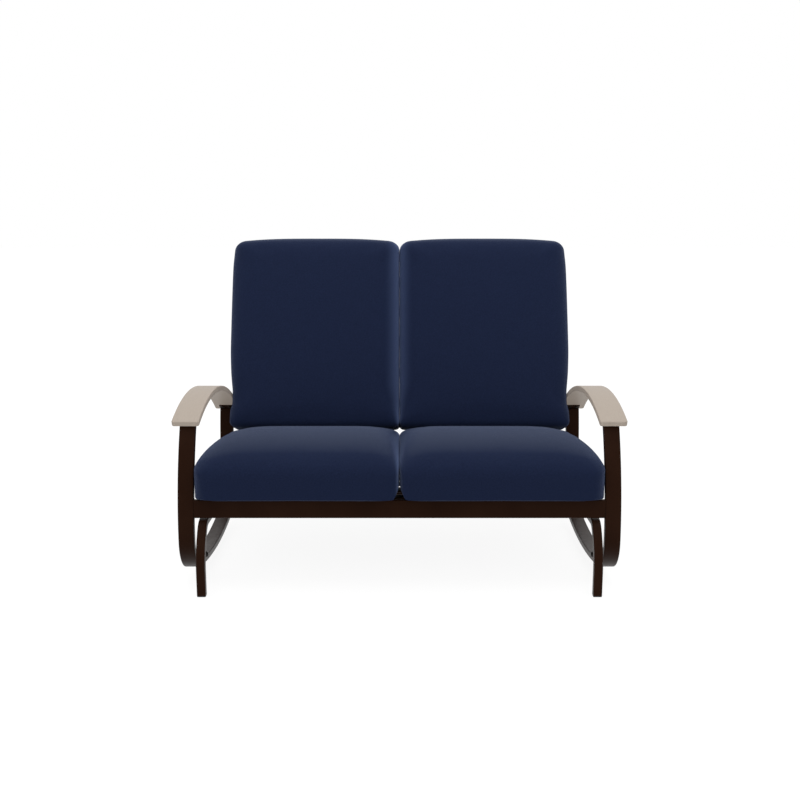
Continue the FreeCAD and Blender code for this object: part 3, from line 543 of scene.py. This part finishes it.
FLOOR_HALF = 40.0
FLOOR_GLOW = 0.902
FLOOR_SHADE = 0.17
FLOOR_PALE = 0.62
ROOM_LIGHT = 0.75
WHITE = (1, 1, 1, 1)
AIM = Vector((0, 0, 0.5))
LENS_MM = 42.75
SENSOR_MM = 36.0
CAMERA_ASIDE = 0.0014
CAMERA_AHEAD = 2.561
CAMERA_HEIGHT = 1.0235
CAMERA_PITCH = 10.437

floor_mesh = bpy.data.meshes.new("studio_floor")
floor_mesh.from_pydata([(-FLOOR_HALF, -FLOOR_HALF, 0), (FLOOR_HALF, -FLOOR_HALF, 0),
                        (FLOOR_HALF, FLOOR_HALF, 0), (-FLOOR_HALF, FLOOR_HALF, 0)],
                       [], [(0, 1, 2, 3)])
floor = bpy.data.objects.new("studio_floor", floor_mesh)
bpy.context.scene.collection.objects.link(floor)


def grey(level):
    """An even colour of one level."""
    return (level, level, level, 1)


def seen_directly(tree):
    """1 for rays that come from the camera, a reflection or a clear surface."""
    path = tree.nodes.new("ShaderNodeLightPath")
    total = path.outputs["Is Camera Ray"]
    for ray in ("Is Glossy Ray", "Is Transmission Ray"):
        total = math_node(tree, "MAXIMUM", total, path.outputs[ray])
    return total


def mixed(tree, unseen, seen, output):
    """Sends one shader to the rays that see it directly and another to all the others."""
    mix = tree.nodes.new("ShaderNodeMixShader")
    tree.links.new(seen_directly(tree), mix.inputs["Fac"])
    tree.links.new(unseen, mix.inputs[1])
    tree.links.new(seen, mix.inputs[2])
    tree.links.new(mix.outputs["Shader"], output.inputs["Surface"])


pale_floor = bpy.data.materials.new("pale_floor")
pale_floor.use_nodes = True
tree = pale_floor.node_tree
tree.nodes.remove(tree.nodes["Principled BSDF"])
glow = tree.nodes.new("ShaderNodeEmission")
glow.inputs["Color"].default_value = grey(FLOOR_GLOW)
shade = tree.nodes.new("ShaderNodeBsdfDiffuse")
shade.inputs["Color"].default_value = grey(FLOOR_SHADE)
plain = tree.nodes.new("ShaderNodeBsdfDiffuse")
plain.inputs["Color"].default_value = grey(FLOOR_PALE)
both = tree.nodes.new("ShaderNodeAddShader")
tree.links.new(glow.outputs["Emission"], both.inputs[0])
tree.links.new(shade.outputs["BSDF"], both.inputs[1])
mixed(tree, plain.outputs["BSDF"], both.outputs["Shader"], tree.nodes["Material Output"])
floor_mesh.materials.append(pale_floor)

world = bpy.data.worlds.new("white_room")
bpy.context.scene.world = world
world.use_nodes = True
tree = world.node_tree
dim = tree.nodes["Background"]
dim.inputs["Color"].default_value = WHITE
dim.inputs["Strength"].default_value = ROOM_LIGHT
white = tree.nodes.new("ShaderNodeBackground")
white.inputs["Color"].default_value = WHITE
mixed(tree, dim.outputs["Background"], white.outputs["Background"], tree.nodes["World Output"])


def soft_lamp(name, place, width, power):
    """A square lamp of a width in metres and a power in watts, turned to the bench."""
    data = bpy.data.lights.new(name, "AREA")
    data.size = width
    data.energy = power
    lamp = bpy.data.objects.new(name, data)
    lamp.location = place
    lamp.rotation_euler = (AIM - Vector(place)).to_track_quat("-Z", "Y").to_euler()
    bpy.context.scene.collection.objects.link(lamp)
    return lamp


soft_lamp("ceiling_lamp", place=(0, -0.4, 3.4), width=3.0, power=48)
soft_lamp("front_lamp", place=(0, -3.4, 2.2), width=2.4, power=14)
fill = soft_lamp("arm_fill_lamp", place=(0, -0.25, 0.05), width=1.0, power=6)
fill.visible_camera = False
arms_only = bpy.data.collections.new("arms_only")
arms_only.objects.link(nodes["armrest_left"])
arms_only.objects.link(nodes["armrest_right"])
fill.light_linking.receiver_collection = arms_only
fill.light_linking.blocker_collection = arms_only

loop_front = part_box("side_loop_left")[0][1]
camera_data = bpy.data.cameras.new("camera")
camera_data.lens = LENS_MM
camera_data.sensor_width = SENSOR_MM
camera = bpy.data.objects.new("camera", camera_data)
camera.location = (CAMERA_ASIDE, loop_front - CAMERA_AHEAD, CAMERA_HEIGHT)
camera.rotation_euler = (math.radians(90 - CAMERA_PITCH), 0, 0)
bpy.context.scene.collection.objects.link(camera)
bpy.context.scene.camera = camera
bpy.context.scene.view_settings.view_transform = "Standard"
